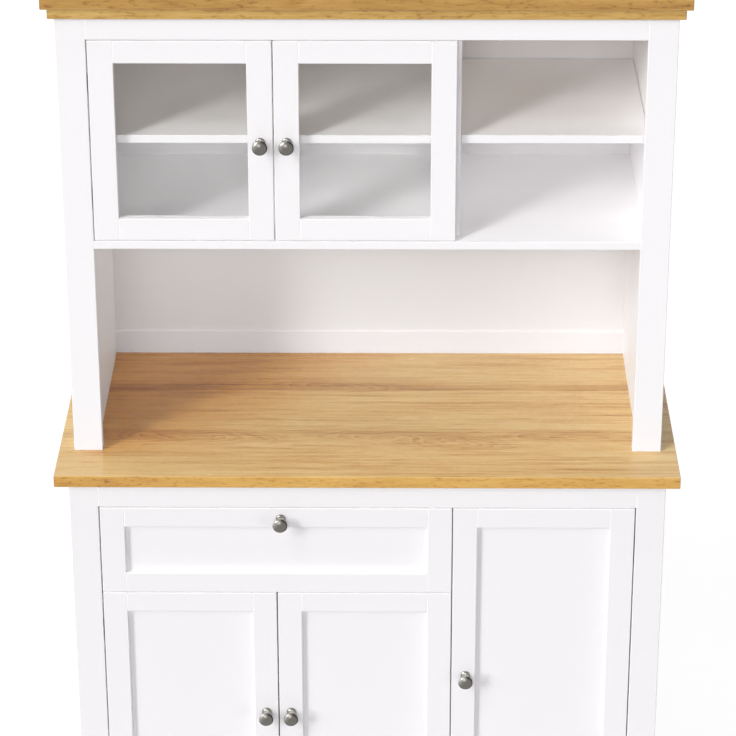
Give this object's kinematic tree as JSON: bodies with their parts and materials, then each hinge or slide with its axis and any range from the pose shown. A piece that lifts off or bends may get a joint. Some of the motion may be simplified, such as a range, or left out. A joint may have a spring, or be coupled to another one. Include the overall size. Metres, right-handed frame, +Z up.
{
  "type": "kitchen buffet cabinet with hutch",
  "caption": "Free-standing kitchen buffet: white framed base with doors and a drawer, oak-effect worktop, and a hutch with glass doors, open shelves and a microwave bay.",
  "frame": {"origin": "on the floor, under the middle of the whole object's box, knobs included", "axes": "+Z up, +X to the right of someone facing the front, -Y out of the front"},
  "size_m": [1, 0.484, 1.593],
  "materials": {
    "white_paint": "satin white paint on fibreboard",
    "back_board": "warm white foil on thin board",
    "oak_board": "golden oak effect, satin lacquer",
    "clear_glass": "clear, polished",
    "brushed_nickel": "brushed nickel",
    "plated_steel": "bright zinc plate"
  },
  "bodies": {
    "carcass": {"base_back": "back_board", "base_bottom_rail": "white_paint", "base_divider": "white_paint", "base_floor": "white_paint", "base_left_front_post": "white_paint", "base_left_rear_post": "white_paint", "base_left_shelf": "white_paint", "base_left_side": "white_paint", "base_right_front_post": "white_paint", "base_right_rear_post": "white_paint", "base_right_shelf": "white_paint", "base_right_side": "white_paint", "base_top_rail": "white_paint", "cornice_lower": "oak_board", "cornice_upper": "oak_board", "hinge_arms": "plated_steel", "hinge_pins": "plated_steel", "hutch_back": "back_board", "hutch_back_rail": "white_paint", "hutch_divider": "white_paint", "hutch_floor": "white_paint", "hutch_glazed_shelf": "white_paint", "hutch_left_front_post": "white_paint", "hutch_left_rear_post": "white_paint", "hutch_left_side": "white_paint", "hutch_open_shelf": "white_paint", "hutch_right_front_post": "white_paint", "hutch_right_rear_post": "white_paint", "hutch_right_side": "white_paint", "hutch_top_rail": "white_paint", "runner_channels": "plated_steel", "shelf_pins": "plated_steel", "worktop": "oak_board"},
    "left_glazed_door": {"left_glazed_door_frame": "white_paint", "left_glazed_door_glass": "clear_glass", "left_glazed_door_hinge_leaves": "plated_steel", "left_glazed_door_knob": "brushed_nickel"},
    "right_glazed_door": {"right_glazed_door_frame": "white_paint", "right_glazed_door_glass": "clear_glass", "right_glazed_door_hinge_leaves": "plated_steel", "right_glazed_door_knob": "brushed_nickel"},
    "left_base_door": {"left_base_door_frame": "white_paint", "left_base_door_hinge_leaves": "plated_steel", "left_base_door_knob": "brushed_nickel", "left_base_door_panel": "white_paint"},
    "middle_base_door": {"middle_base_door_frame": "white_paint", "middle_base_door_hinge_leaves": "plated_steel", "middle_base_door_knob": "brushed_nickel", "middle_base_door_panel": "white_paint"},
    "right_base_door": {"right_base_door_frame": "white_paint", "right_base_door_hinge_leaves": "plated_steel", "right_base_door_knob": "brushed_nickel", "right_base_door_panel": "white_paint"},
    "drawer": {"drawer_back": "white_paint", "drawer_bottom": "back_board", "drawer_front_frame": "white_paint", "drawer_front_panel": "white_paint", "drawer_knob": "brushed_nickel", "drawer_runner_members": "plated_steel", "drawer_sides": "white_paint"}
  },
  "joints": [
    {"name": "left_glazed_door_hinge", "type": "hinge", "parent": "carcass", "child": "left_glazed_door", "pos_m": [-0.418, -0.136, 1.3545], "axis": [0, 0, -1], "range_deg": [0, 95]},
    {"name": "right_glazed_door_hinge", "type": "hinge", "parent": "carcass", "child": "right_glazed_door", "pos_m": [0.1295, -0.136, 1.3545], "axis": [0, 0, 1], "range_deg": [0, 95]},
    {"name": "left_base_door_hinge", "type": "hinge", "parent": "carcass", "child": "left_base_door", "pos_m": [-0.422, -0.207, 0.3645], "axis": [0, 0, -1], "range_deg": [0, 95]},
    {"name": "middle_base_door_hinge", "type": "hinge", "parent": "carcass", "child": "middle_base_door", "pos_m": [0.128, -0.207, 0.3645], "axis": [0, 0, 1], "range_deg": [0, 95]},
    {"name": "right_base_door_hinge", "type": "hinge", "parent": "carcass", "child": "right_base_door", "pos_m": [0.422, -0.207, 0.4425], "axis": [0, 0, 1], "range_deg": [0, 95]},
    {"name": "drawer_slide", "type": "slide", "parent": "carcass", "child": "drawer", "axis": [0, -1, 0], "range_m": [0, 0.28]}
  ]
}
